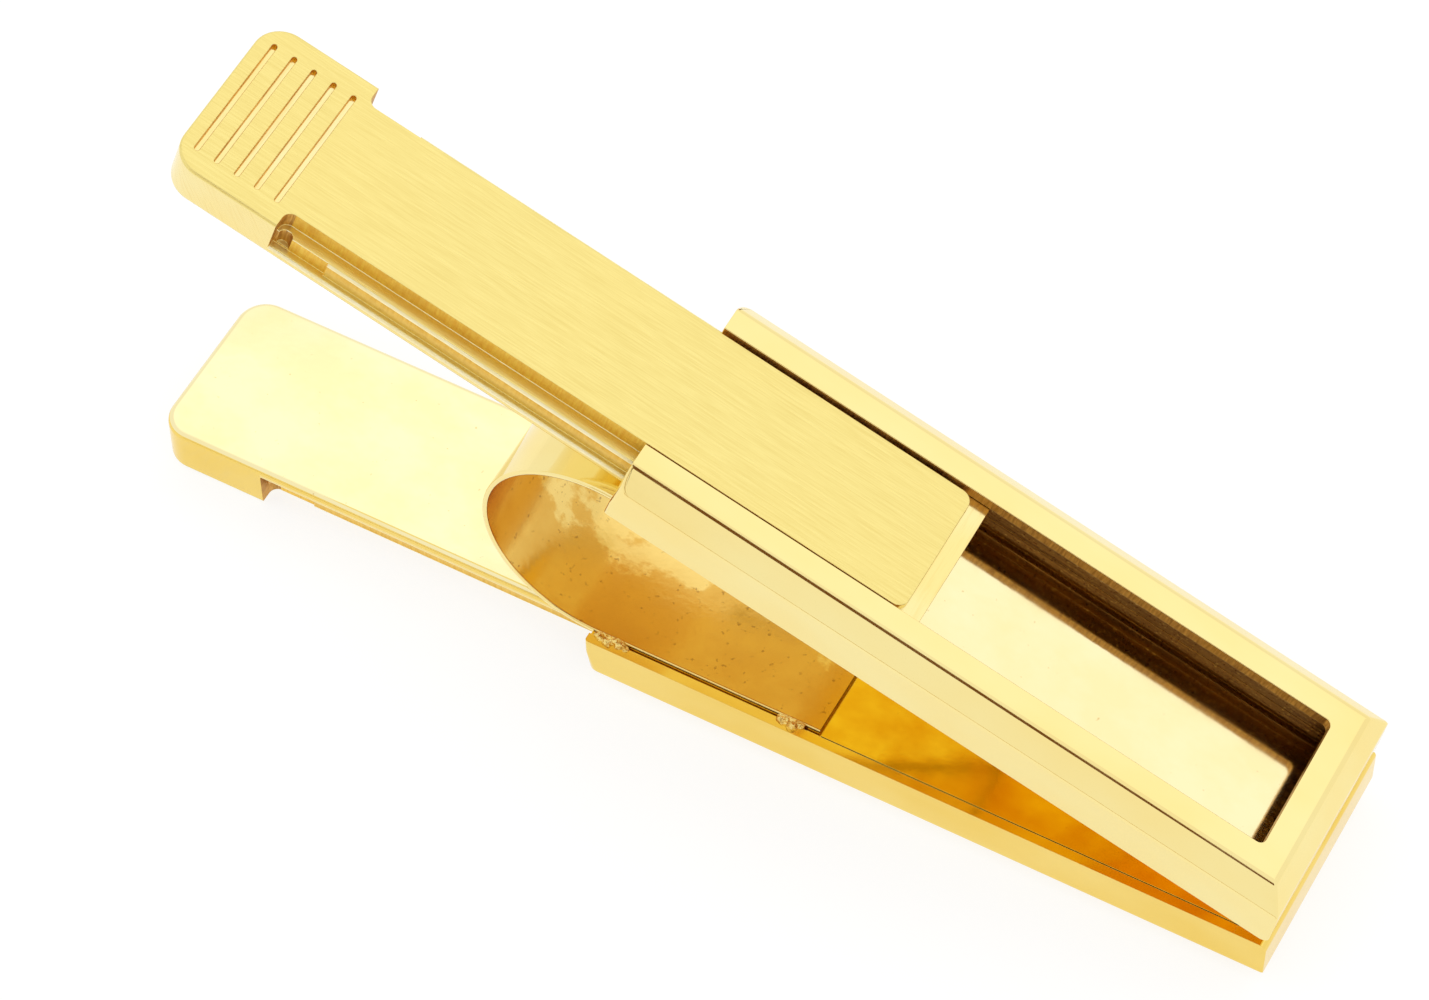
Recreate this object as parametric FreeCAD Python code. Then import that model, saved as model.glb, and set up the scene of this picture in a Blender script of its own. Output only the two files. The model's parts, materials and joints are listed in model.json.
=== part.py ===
import FreeCAD
import Part
import math
import os

os.makedirs("parts", exist_ok=True)

# A gold-plated brass money clip: two equal arms hinged at one end and held
# apart by a bow spring. Each arm is a housing with an open T-shaped channel
# and a slider that is pulled out of its tip end. Millimetres, +Z up. The lower
# arm lies on its outer face, the hinge is at +X and the tips point along -X.
# The origin is the middle of the bottom of the bounding box.

# Housing of one arm
ARM_WIDTH = 16.0
ARM_HEIGHT = 4.4
HOUSING_LENGTH = 47.2
BEVEL_WIDTH = 1.32
BEVEL_HEIGHT = 1.36
INNER_END_ROUND = 0.5
END_RAKE = 0.5
OPEN_CORNER = 0.25

# Window and T-shaped channel
END_RAIL = 3.13
WINDOW_HALF_WIDTH = 4.94
WINDOW_CORNER = 0.45
LIP_THICKNESS = 0.88
CHANNEL_HALF_WIDTH = 6.16
END_WALL = 1.95
EAR_GROOVE_HALF_WIDTH = 6.6
EAR_GROOVE_LEVELS = (1.55, 2.55)
EAR_PLAY = 0.03

# Back plate closing the channel, with a stepped seat for the spring
PLATE_HALF_WIDTH = 7.25
PLATE_LEVELS = (0.04, 0.69)
PLATE_END = 2.1
SEAT_START = 30.8
SEAT_LEVEL = 0.38

# Slider, drawn fully pulled out
TRAVEL = 25.5
SHOULDER_GAP = 0.1
SLIDER_LEVELS = (0.72, 3.47, 4.12)
SLIDER_TOP_HALF_WIDTH = 4.72
SLIDER_HALF_WIDTH = 6.1
SLIDER_REAR = 27.6
SLIDER_TOP_REAR = 28.83
SLIDER_TOP_CORNER = 0.8
SHOULDER = HOUSING_LENGTH + TRAVEL + SHOULDER_GAP
TIP = 80.7
TIP_CORNER = 2.0
HEAD_EDGE_ROUND = 0.3
INNER_EDGE_ROUND = 0.4
EAR_LENGTH = 1.25
EAR_HALF_WIDTH = 6.5
EAR_LEVELS = (1.6, 2.5)

# Two steps down each side of the bar, ending in a thin flange; only a short block
# at the rear keeps the full width and carries the ears
STEP_HALF_WIDTH = 5.67
STEP_LEVEL = 2.82
FLANGE_LEVEL = 1.52

# Milled relief behind each shoulder of the head: a round corner against the top
# step, a shallow recess in the lower step and a round cavity at its tip end
SHOULDER_CORNER = 0.6
RECESS_LENGTH = 3.7
RECESS_HALF_WIDTH = 5.5
RECESS_BOTTOM = 1.35
RECESS_ROUND = 0.35
CAVITY_RADIUS = 0.47
CAVITY_INSET = 0.52
CAVITY_OFFSET = 5.6
CAVITY_BOTTOM = 1.45

# Thumb grooves across the head
GROOVE_COUNT = 5
GROOVE_FIRST = 1.14
GROOVE_PITCH = 1.44
GROOVE_LENGTH = 9.35
GROOVE_WIDTH = 0.36
GROOVE_DEPTH = 0.36

# Bowed drag spring in a pocket under each slider
DRAG_POCKET = (28.6, 36.6)
DRAG_POCKET_HALF_WIDTH = 1.7
DRAG_POCKET_TOP = 1.27
DRAG_SPRING_HALF_WIDTH = 1.5
DRAG_SPRING_THICKNESS = 0.12
DRAG_SPRING_HALF_LENGTH = 3.6
DRAG_SPRING_LEVELS = (0.71, 1.26)

# Hinge: a hidden pin in the upper end wall, turning in two lugs of the lower arm
OPEN_ANGLE = 17.8
PIVOT_INSET = 1.0
PIVOT_HEIGHT = 0.8
CLOSED_GAP = 1.0
LOWER_OFFSET = 0.2
PIN_RADIUS = 0.4
PIN_HALF_LENGTH = 6.9
LUG_BORE_RADIUS = 0.43
LUG_RADIUS = 0.65
LUG_SPAN = (2.0, 4.8)
LUG_FOOT_DEPTH = 0.6
NOTCH_PLAY = 0.05
NECK_REACH = 3.0

# Bow spring and its solder beads
SPRING_THICKNESS = 0.36
SPRING_HALF_WIDTH = 7.15
BOW_START = 46.85
UPPER_LEG = 9.0
BEAD_RADIUS = 0.42
BEAD_LINE = 7.3
TIP_BEAD = (44.3, 46.9)
HINGE_BEAD = (31.9, 33.9)

# The lower slider stands this far short of its stop
LOWER_SLIDER_SHORT = 0.65

# Cutters run this far past the faces they open
OVERRUN = 1.0

THETA = math.radians(OPEN_ANGLE)
SIN = math.sin(THETA)
COS = math.cos(THETA)
HALF_WIDTH = ARM_WIDTH / 2
BEVEL_FOOT = ARM_HEIGHT - BEVEL_HEIGHT
PIVOT_TO_END = PIVOT_INSET * COS + (BEVEL_FOOT - PIVOT_HEIGHT) * SIN
LOWER_PIVOT_INSET = PIVOT_INSET + LOWER_OFFSET
LOWER_PIVOT_HEIGHT = PIVOT_HEIGHT + CLOSED_GAP
OVERHANG = PIVOT_TO_END - LOWER_PIVOT_INSET
LOWER_END = (TIP - LOWER_SLIDER_SHORT - OVERHANG) / 2
PIVOT = (LOWER_END - LOWER_PIVOT_INSET, ARM_HEIGHT + LOWER_PIVOT_HEIGHT)


def vec(x, y, z):
    return FreeCAD.Vector(x, y, z)


def box(x_range, y_range, z_range):
    size = [max(r) - min(r) for r in (x_range, y_range, z_range)]
    corner = vec(min(x_range), min(y_range), min(z_range))
    return Part.makeBox(size[0], size[1], size[2], corner)


def across(x_range, half_width, z_range):
    return box(x_range, (-half_width, half_width), z_range)


def prism_xz(points, y_range):
    loop = [vec(x, min(y_range), z) for x, z in points]
    face = Part.Face(Part.makePolygon(loop + loop[:1]))
    return face.extrude(vec(0, max(y_range) - min(y_range), 0))


def prism_yz(points, x_range):
    loop = [vec(min(x_range), y, z) for y, z in points]
    face = Part.Face(Part.makePolygon(loop + loop[:1]))
    return face.extrude(vec(max(x_range) - min(x_range), 0, 0))


def rod_y(radius, x, z, y_range):
    start = vec(x, min(y_range), z)
    return Part.makeCylinder(radius, max(y_range) - min(y_range), start, vec(0, 1, 0))


def both_sides(shape):
    return [shape, shape.mirror(vec(0, 0, 0), vec(0, 1, 0))]


def pick_edges(shape, test):
    return [e for e in shape.Edges if test(e.BoundBox)]


def upright_at(x, y_abs):
    def test(b):
        upright = b.XLength < 1e-6 and b.YLength < 1e-6
        return upright and abs(b.XMin - x) < 1e-4 and abs(abs(b.YMin) - y_abs) < 1e-4
    return test


def across_at(x, z):
    def test(b):
        level = b.XLength < 1e-6 and b.ZLength < 1e-6
        return level and abs(b.XMin - x) < 1e-4 and abs(b.ZMin - z) < 1e-4
    return test


def slot_y(x, length, width, z_range):
    height = max(z_range) - min(z_range)
    reach = length / 2 - width / 2
    middle = across((x - width / 2, x + width / 2), reach, z_range)
    ends = [Part.makeCylinder(width / 2, height, vec(x, y, min(z_range))) for y in (reach, -reach)]
    return middle.fuse(ends).removeSplitter()


def outer_body(rake):
    profile = [
        (-HOUSING_LENGTH, 0),
        (rake, 0),
        (0, BEVEL_FOOT),
        (-BEVEL_WIDTH, ARM_HEIGHT),
        (-HOUSING_LENGTH, ARM_HEIGHT),
    ]
    body = prism_xz(profile, (-HALF_WIDTH, HALF_WIDTH))
    open_corners = pick_edges(body, upright_at(-HOUSING_LENGTH, HALF_WIDTH))
    body = body.makeFillet(OPEN_CORNER, open_corners)
    inner_end = pick_edges(body, across_at(rake, 0))
    body = body.makeFillet(INNER_END_ROUND, inner_end)
    side_bevel = prism_yz(
        [
            (HALF_WIDTH - 2 * BEVEL_WIDTH, ARM_HEIGHT + BEVEL_HEIGHT),
            (HALF_WIDTH + BEVEL_WIDTH, BEVEL_FOOT - BEVEL_HEIGHT),
            (HALF_WIDTH + 2 * BEVEL_WIDTH, ARM_HEIGHT + BEVEL_HEIGHT),
        ],
        (-HOUSING_LENGTH - OVERRUN, rake + OVERRUN),
    )
    return body.cut(both_sides(side_bevel))


def window():
    levels = (ARM_HEIGHT - LIP_THICKNESS, ARM_HEIGHT + OVERRUN)
    opening = across((-HOUSING_LENGTH - OVERRUN, -END_RAIL), WINDOW_HALF_WIDTH, levels)
    corners = pick_edges(opening, upright_at(-END_RAIL, WINDOW_HALF_WIDTH))
    return opening.makeFillet(WINDOW_CORNER, corners)


def housing(rake):
    beyond = -HOUSING_LENGTH - OVERRUN
    ear_end = -SLIDER_REAR - EAR_LENGTH - EAR_PLAY
    channel_levels = (PLATE_LEVELS[1], ARM_HEIGHT - LIP_THICKNESS)
    cuts = [
        window(),
        across((beyond, -END_WALL), CHANNEL_HALF_WIDTH, channel_levels),
        across((beyond, -PLATE_END), PLATE_HALF_WIDTH, (-OVERRUN, PLATE_LEVELS[1])),
        across((ear_end, -END_WALL), EAR_GROOVE_HALF_WIDTH, EAR_GROOVE_LEVELS),
    ]
    return outer_body(rake).cut(cuts).removeSplitter()


def back_plate():
    plate = across((-HOUSING_LENGTH, -PLATE_END), PLATE_HALF_WIDTH, PLATE_LEVELS)
    seat_range = (-HOUSING_LENGTH - OVERRUN, -SEAT_START)
    seat = across(seat_range, ARM_WIDTH, (-OVERRUN, SEAT_LEVEL))
    return plate.cut(seat)


def thumb_grooves():
    levels = (SLIDER_LEVELS[2] - GROOVE_DEPTH, SLIDER_LEVELS[2] + OVERRUN)
    places = [GROOVE_FIRST + k * GROOVE_PITCH - TIP for k in range(GROOVE_COUNT)]
    return [slot_y(x, GROOVE_LENGTH, GROOVE_WIDTH, levels) for x in places]


def shoulder_reliefs():
    end = -SHOULDER + RECESS_LENGTH
    levels = (RECESS_BOTTOM, STEP_LEVEL + OVERRUN)
    recess = box((-SHOULDER, end), (RECESS_HALF_WIDTH, ARM_WIDTH), levels)
    recess = recess.makeFillet(RECESS_ROUND, pick_edges(recess, across_at(end, RECESS_BOTTOM)))
    foot = vec(-SHOULDER + CAVITY_INSET, CAVITY_OFFSET, CAVITY_BOTTOM)
    cavity = Part.makeCylinder(CAVITY_RADIUS, levels[1] - CAVITY_BOTTOM, foot)
    return both_sides(recess.fuse(cavity))


def drag_pocket():
    start, end = DRAG_POCKET
    return across((-end, -start), DRAG_POCKET_HALF_WIDTH, (0, DRAG_POCKET_TOP))


def drag_spring():
    low, high = DRAG_SPRING_LEVELS
    half = DRAG_SPRING_THICKNESS / 2
    reach = DRAG_SPRING_HALF_LENGTH
    rise = high - low - 2 * half
    radius = (reach**2 + rise**2) / (2 * rise)
    turn = math.asin(reach / radius)
    centre = vec(-sum(DRAG_POCKET) / 2, -DRAG_SPRING_HALF_WIDTH, low + half + radius)
    edges = []
    for r in (radius - half, radius + half):
        points = [centre + vec(math.sin(a), 0, -math.cos(a)) * r for a in (-turn, 0, turn)]
        edges.append((points[0], points[2], Part.Arc(*points).toShape()))
    inner, outer = edges
    ends = [Part.makeLine(inner[k], outer[k]) for k in (0, 1)]
    loop = Part.sortEdges([inner[2], outer[2]] + ends)[0]
    return Part.Face(Part.Wire(loop)).extrude(vec(0, 2 * DRAG_SPRING_HALF_WIDTH, 0))


def slider_head():
    head = across((-TIP, -SHOULDER), SLIDER_HALF_WIDTH, (SLIDER_LEVELS[0], SLIDER_LEVELS[2]))
    head = head.makeFillet(TIP_CORNER, pick_edges(head, upright_at(-TIP, SLIDER_HALF_WIDTH)))
    rim = [
        e
        for e in head.Edges
        if abs(e.BoundBox.ZMin - SLIDER_LEVELS[2]) < 1e-4 and e.BoundBox.XMin < -SHOULDER - 1e-3
    ]
    return head.makeFillet(HEAD_EDGE_ROUND, rim)


def slider_body():
    low, block_top, high = SLIDER_LEVELS
    length = (-SHOULDER, -SLIDER_REAR)
    flange = across(length, SLIDER_HALF_WIDTH, (low, FLANGE_LEVEL))
    step = across(length, STEP_HALF_WIDTH, (low, STEP_LEVEL))
    block_range = (-SLIDER_TOP_REAR - SLIDER_TOP_CORNER, -SLIDER_REAR)
    block = across(block_range, SLIDER_HALF_WIDTH, (low, block_top))
    top = across((-SHOULDER, -SLIDER_TOP_REAR), SLIDER_TOP_HALF_WIDTH, (low, high))
    corners = pick_edges(top, upright_at(-SLIDER_TOP_REAR, SLIDER_TOP_HALF_WIDTH))
    top = top.makeFillet(SLIDER_TOP_CORNER, corners)
    body = flange.fuse([step, block, top, slider_head()]).removeSplitter()
    shoulders = pick_edges(body, upright_at(-SHOULDER, SLIDER_TOP_HALF_WIDTH))
    return body.makeFillet(SHOULDER_CORNER, shoulders)


def slider():
    body = slider_body()
    under = [
        e
        for e in body.Edges
        if abs(e.BoundBox.ZMax - SLIDER_LEVELS[0]) < 1e-4 and e.BoundBox.XMin < -SLIDER_REAR - 0.01
    ]
    body = body.makeFillet(INNER_EDGE_ROUND, under)
    ears = across((-SLIDER_REAR - EAR_LENGTH, -SLIDER_REAR), EAR_HALF_WIDTH, EAR_LEVELS)
    body = body.fuse(ears).removeSplitter()
    return body.cut(thumb_grooves() + shoulder_reliefs() + [drag_pocket()])


def neck_outline(x, z, radius, turn, reach):
    outward = vec(math.cos(turn), 0, math.sin(turn))
    down = vec(math.sin(turn), 0, -math.cos(turn))
    centre = vec(x, 0, z)
    start = centre + outward * radius
    return start, start + down * reach


def hinge_notches():
    x, z = -PIVOT_INSET, PIVOT_HEIGHT
    radius = LUG_RADIUS + NOTCH_PLAY
    top, foot = neck_outline(x, z, radius, THETA, NECK_REACH)
    points = [(top.x, top.z), (foot.x, foot.z), (x - radius, foot.z), (x - radius, z)]
    y_range = (LUG_SPAN[0] - NOTCH_PLAY, LUG_SPAN[1] + NOTCH_PLAY)
    notch = rod_y(radius, x, z, y_range).fuse(prism_xz(points, y_range))
    return both_sides(notch)


def pin_bore(radius):
    return rod_y(radius, -PIVOT_INSET, PIVOT_HEIGHT, (-PIN_HALF_LENGTH, PIN_HALF_LENGTH))


def lug_pockets():
    x_range = (-LOWER_PIVOT_INSET - LUG_RADIUS, -LOWER_PIVOT_INSET + LUG_RADIUS)
    return both_sides(box(x_range, LUG_SPAN, (-OVERRUN, LUG_FOOT_DEPTH)))


def hinge_lug():
    x, z = -LOWER_PIVOT_INSET, -LOWER_PIVOT_HEIGHT
    post = box((x - LUG_RADIUS, x + LUG_RADIUS), LUG_SPAN, (z, LUG_FOOT_DEPTH))
    eye = rod_y(LUG_RADIUS, x, z, LUG_SPAN)
    bore = rod_y(LUG_BORE_RADIUS, x, z, (LUG_SPAN[0] - OVERRUN, LUG_SPAN[1] + OVERRUN))
    return post.fuse(eye).removeSplitter().cut(bore)


def strip_edge(centre, radius, start, upper_reach):
    bottom = centre + vec(0, 0, -radius)
    top = centre + vec(SIN, 0, COS) * radius
    middle = math.radians(180 - OPEN_ANGLE / 2)
    side = centre + vec(math.cos(middle), 0, math.sin(middle)) * radius
    arc = Part.Arc(bottom, side, top).toShape()
    first = vec(start, bottom.y, bottom.z)
    last = top + vec(COS, 0, -SIN) * upper_reach
    return first, last, [Part.makeLine(first, bottom), arc, Part.makeLine(top, last)]


def bow_spring():
    half = SPRING_THICKNESS / 2
    leg_depth = SEAT_LEVEL - half
    below_lower = LOWER_PIVOT_HEIGHT + leg_depth
    below_upper = PIVOT_HEIGHT - half
    meeting = (below_lower * COS - below_upper) / SIN - LOWER_PIVOT_INSET
    radius = (meeting + BOW_START) * math.tan(THETA / 2)
    centre = vec(LOWER_END - BOW_START, -SPRING_HALF_WIDTH, ARM_HEIGHT - leg_depth + radius)
    start = LOWER_END - SEAT_START
    first_out, last_out, outer = strip_edge(centre, radius + half, start, UPPER_LEG)
    first_in, last_in, inner = strip_edge(centre, radius - half, start, UPPER_LEG)
    ends = [Part.makeLine(first_in, first_out), Part.makeLine(last_in, last_out)]
    edges = Part.sortEdges(outer + inner + ends)[0]
    return Part.Face(Part.Wire(edges)).extrude(vec(0, 2 * SPRING_HALF_WIDTH, 0))


def solder_bead(x_span):
    start = vec(-max(x_span) + BEAD_RADIUS, BEAD_LINE, 0)
    length = max(x_span) - min(x_span) - 2 * BEAD_RADIUS
    rod = Part.makeCylinder(BEAD_RADIUS, length, start, vec(1, 0, 0))
    ends = [Part.makeSphere(BEAD_RADIUS, start + vec(x, 0, 0)) for x in (0, length)]
    bead = rod.fuse(ends).removeSplitter()
    above_face = box((-HOUSING_LENGTH, 0), (0, ARM_WIDTH), (-ARM_HEIGHT, 0))
    return bead.common(above_face)


def place_lower(shape):
    placed = shape.copy()
    placed.rotate(vec(0, 0, 0), vec(1, 0, 0), 180)
    placed.translate(vec(LOWER_END, 0, ARM_HEIGHT))
    return placed


def place_upper(shape):
    placed = shape.copy()
    placed.translate(vec(PIVOT_INSET, 0, -PIVOT_HEIGHT))
    placed.rotate(vec(0, 0, 0), vec(0, 1, 0), OPEN_ANGLE)
    placed.translate(vec(PIVOT[0], 0, PIVOT[1]))
    return placed


def save(name, shape):
    solid = shape.Solids[0]
    if len(shape.Solids) != 1 or not solid.isValid():
        raise ValueError(name + " is not one valid solid")
    solid.exportStep("parts/" + name + ".step")


def build_lower_arm():
    save("lower_housing", place_lower(housing(0).cut(lug_pockets())))
    save("lower_back_plate", place_lower(back_plate()))
    for name, shape in (("lower_slider", slider()), ("lower_drag_spring", drag_spring())):
        shape.translate(vec(LOWER_SLIDER_SHORT, 0, 0))
        save(name, place_lower(shape))
    far_lug, near_lug = [place_lower(lug) for lug in both_sides(hinge_lug())]
    save("hinge_lug_near", min((far_lug, near_lug), key=lambda s: s.BoundBox.YMin))
    save("hinge_lug_far", max((far_lug, near_lug), key=lambda s: s.BoundBox.YMin))


def build_spring():
    save("bow_spring", bow_spring())
    for end, x_span in (("tip", TIP_BEAD), ("hinge", HINGE_BEAD)):
        pair = [place_lower(bead) for bead in both_sides(solder_bead(x_span))]
        pair.sort(key=lambda s: s.BoundBox.YMin)
        save("solder_near_" + end, pair[0])
        save("solder_far_" + end, pair[1])


def build_upper_arm():
    end_cuts = hinge_notches() + [pin_bore(PIN_RADIUS)]
    save("upper_housing", place_upper(housing(END_RAKE).cut(end_cuts)))
    save("upper_back_plate", place_upper(back_plate()))
    save("upper_slider", place_upper(slider()))
    save("upper_drag_spring", place_upper(drag_spring()))
    save("hinge_pin", place_upper(pin_bore(PIN_RADIUS)))


build_lower_arm()
build_spring()
build_upper_arm()
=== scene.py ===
import json
import math
import random

import bmesh
import bpy
from mathutils import Matrix, Vector, noise


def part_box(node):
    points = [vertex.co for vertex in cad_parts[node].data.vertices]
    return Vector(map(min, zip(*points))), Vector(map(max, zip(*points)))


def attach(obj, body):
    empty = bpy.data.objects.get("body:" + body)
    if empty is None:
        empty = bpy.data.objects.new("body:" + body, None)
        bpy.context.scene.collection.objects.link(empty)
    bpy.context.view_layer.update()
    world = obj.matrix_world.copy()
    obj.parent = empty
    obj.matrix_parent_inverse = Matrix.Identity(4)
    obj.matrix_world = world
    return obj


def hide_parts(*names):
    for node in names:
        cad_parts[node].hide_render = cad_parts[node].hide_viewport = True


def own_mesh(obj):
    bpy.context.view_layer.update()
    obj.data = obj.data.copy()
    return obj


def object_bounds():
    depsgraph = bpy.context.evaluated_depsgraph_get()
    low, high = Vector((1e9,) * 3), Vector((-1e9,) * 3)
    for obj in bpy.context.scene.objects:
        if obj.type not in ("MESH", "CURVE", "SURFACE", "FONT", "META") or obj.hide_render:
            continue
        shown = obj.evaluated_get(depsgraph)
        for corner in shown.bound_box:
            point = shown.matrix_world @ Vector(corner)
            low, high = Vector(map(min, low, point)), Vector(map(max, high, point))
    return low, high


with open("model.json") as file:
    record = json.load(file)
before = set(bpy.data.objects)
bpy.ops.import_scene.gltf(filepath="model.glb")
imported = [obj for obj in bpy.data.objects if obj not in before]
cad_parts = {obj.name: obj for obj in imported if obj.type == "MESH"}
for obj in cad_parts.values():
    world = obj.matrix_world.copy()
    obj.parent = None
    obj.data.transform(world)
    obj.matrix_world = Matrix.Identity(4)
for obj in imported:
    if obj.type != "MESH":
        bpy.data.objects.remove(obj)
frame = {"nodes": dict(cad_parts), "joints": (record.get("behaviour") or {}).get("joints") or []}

CAD_BOUNDS = [list(corner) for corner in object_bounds()]

# Each arm is modelled in millimetres with its hinge end at x = 0, its tips
# towards -x, its inner face at z = 0 and its outer face at z = ARM_HEIGHT.
MM = 0.001
ARM_HEIGHT = 4.4
HOUSING_LENGTH = 47.2
HALF_WIDTH = 8.0
BEVEL_WIDTH = 1.32
BEVEL_HEIGHT = 1.36
INNER_END_ROUND = 0.5
END_RAKE = 0.5
OPEN_CORNER = 0.25
OPEN_CORNER_TOP = 1.3
OPEN_CORNER_LEVEL = 1.2
TOP_CREASE_ROUND = 0.28
SIDE_CREASE_ROUND = 0.17
HOUSING_EDGE_ROUND = 0.06
PLATE_EDGE_ROUND = 0.03
PLATE_OVERCUT = 0.02
PIVOT_INSET = 1.0
PIVOT_HEIGHT = 0.8
LUG_RADIUS = 0.65
LUG_SPAN = (2.0, 4.8)
NOTCH_PLAY = 0.05
NECK_REACH = 3

WINDOW_END = -3.13
WINDOW_HALF_WIDTH = 4.94
WINDOW_CORNER = 0.45
CHANNEL_END = -1.95
CHANNEL_HALF_WIDTH = 6.16
CHANNEL_LEVELS = (0.69, 3.52)
EAR_GROOVE = ((-28.88, -1.95), 6.6, (1.55, 2.55))
PLATE_END = -2.1
PLATE_HALF_WIDTH = 7.25
PLATE_SLIT = 0.07
PLATE_LEVELS = (0.04, 0.69)
SEAT_START = 30.8
SEAT_LEVEL = 0.38

SLIDER_BOTTOM = 0.72
FLANGE_TOP = 3.47
SLIDER_TOP = 4.12
TOP_HALF_WIDTH = 4.72
FLANGE_HALF_WIDTH = 6.1
STEP_HALF_WIDTH = 5.67
STEP_LEVEL = 2.82
STEP_CORNER = 0.35
FLANGE_LEVEL = 1.52
SLIDER_REAR = -27.6
TOP_REAR = -28.83
TOP_REAR_CORNER = 0.8
BLOCK_START = -29.63
SHOULDER = -72.9
SHOULDER_CORNER = 0.6
TIP = -80.7
TIP_CORNER = 2.0
INNER_EDGE_ROUND = 0.4
HEAD_EDGE_ROUND = 0.18
NARROW_EDGE_ROUND = 0.025
RIDGE_ROUND = 0.2
SLIDER_EDGE_ROUND = 0.05
RECESS = (-72.9, -69.2)
RECESS_HALF_WIDTH = 5.5
CAVITY = (-72.25, 5.6, 0.46)
EARS = ((-28.85, -27.6), 6.5, (1.6, 2.5))

GROOVE_COUNT = 5
GROOVE_FIRST = -79.56
GROOVE_PITCH = 1.44
GROOVE_LENGTH = 9.35
GROOVE_WIDTH = 0.36
GROOVE_DEPTH = 0.36
GROOVE_FLARE = 0.03

SPRING_THICKNESS = 0.36
SPRING_HALF_WIDTH = 7.0
SPRING_EDGE_ROUND = 0.17
BOW_START = 46.85
UPPER_LEG = 9.0
LEG_GAP = 0.22
LEG_STEPS = 8
TURN_STEPS = 48
LOWER_SLIDER_SHORT = 0.65

# Solder beads: drops run together along the spring's leg
DROP_COUNT = 9
DROP_RADIUS = (0.27, 0.44)
DROP_INSET = 0.3
BEAD_SINK = 0.4
BEAD_VOXEL = 0.05
COARSE_CRUMPLE = (3.1, 0.12)
FINE_CRUMPLE = (7.3, 0.05)

# How far cutting tools reach past the metal, and how close counts as the same place
OVERRUN = 0.3
NEAR = 0.02

record_joints = {j["name"]: j for j in frame["joints"]}
PIVOT = Vector(record_joints["arm_hinge"]["pos_m"])
SLIDE_AXIS = Vector(record_joints["upper_slide"]["axis"])
OPEN_ANGLE = math.atan2(-SLIDE_AXIS.z, SLIDE_AXIS.x)
LOWER_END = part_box("lower_housing")[1].x

LOWER_ARM = Matrix.Translation((LOWER_END, 0, ARM_HEIGHT * MM)) @ Matrix.Rotation(math.pi, 4, "X")
UPPER_ARM = (
    Matrix.Translation(PIVOT)
    @ Matrix.Rotation(OPEN_ANGLE, 4, "Y")
    @ Matrix.Translation((PIVOT_INSET * MM, 0, -PIVOT_HEIGHT * MM))
)


# ---------------------------------------------------------------- mesh tools

def temporary(name, bm):
    mesh = bpy.data.meshes.new(name)
    bm.to_mesh(mesh)
    bm.free()
    obj = bpy.data.objects.new(name, mesh)
    bpy.context.scene.collection.objects.link(obj)
    return obj


def prism(outline, plane, low, high):
    """Closed prism over a 2-D outline lying in plane xy, xz or yz."""
    place = {
        "xy": lambda p, t: (p[0], p[1], t),
        "xz": lambda p, t: (p[0], t, p[1]),
        "yz": lambda p, t: (t, p[0], p[1]),
    }[plane]
    bm = bmesh.new()
    ends = [[bm.verts.new(place(p, t)) for p in outline] for t in (low, high)]
    count = len(outline)
    bm.faces.new(ends[0])
    bm.faces.new(ends[1][::-1])
    for i in range(count):
        j = (i + 1) % count
        bm.faces.new((ends[0][i], ends[1][i], ends[1][j], ends[0][j]))
    bmesh.ops.recalc_face_normals(bm, faces=bm.faces)
    return temporary("tool", bm)


def skin(sections):
    """Closed solid through loops of equally many points, capped at both ends."""
    bm = bmesh.new()
    loops = [[bm.verts.new(point) for point in section] for section in sections]
    for a, b in zip(loops, loops[1:]):
        for i in range(len(a)):
            j = (i + 1) % len(a)
            bm.faces.new((a[i], a[j], b[j], b[i]))
    bm.faces.new(loops[0][::-1])
    bm.faces.new(loops[-1])
    bmesh.ops.recalc_face_normals(bm, faces=bm.faces)
    return temporary("tool", bm)


def loft(outlines, levels):
    """Closed solid through plan outlines, one at each level of z."""
    return skin([[(x, y, z) for x, y in outline] for outline, z in zip(outlines, levels)])


def box(x_range, y_range, z_range):
    (x0, x1), (y0, y1) = x_range, y_range
    return prism([(x0, y0), (x1, y0), (x1, y1), (x0, y1)], "xy", *z_range)


def arc(centre, radius, start, end, steps=12):
    """Points along an arc, angles in degrees."""
    points = []
    for i in range(steps + 1):
        a = math.radians(start + (end - start) * i / steps)
        points.append((centre[0] + radius * math.cos(a), centre[1] + radius * math.sin(a)))
    return points


def combine(base, tools, operation):
    """Applies booleans of the tools to base, in order, and removes the tools."""
    for tool in tools:
        step = base.modifiers.new("step", "BOOLEAN")
        step.operation = operation
        step.solver = "MANIFOLD"
        step.object = tool
    apply_modifiers(base)
    for tool in tools:
        mesh = tool.data
        bpy.data.objects.remove(tool)
        bpy.data.meshes.remove(mesh)
    return base


def apply_modifiers(obj):
    depsgraph = bpy.context.evaluated_depsgraph_get()
    old = obj.data
    new = bpy.data.meshes.new_from_object(obj.evaluated_get(depsgraph))
    obj.modifiers.clear()
    obj.data = new
    bpy.data.meshes.remove(old)
    return obj


def clean(obj):
    bm = bmesh.new()
    bm.from_mesh(obj.data)
    bmesh.ops.remove_doubles(bm, verts=bm.verts, dist=1e-4)
    bmesh.ops.dissolve_limit(
        bm, angle_limit=math.radians(0.5), verts=bm.verts, edges=bm.edges
    )
    bmesh.ops.recalc_face_normals(bm, faces=bm.faces)
    bm.to_mesh(obj.data)
    bm.free()
    return obj


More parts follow.
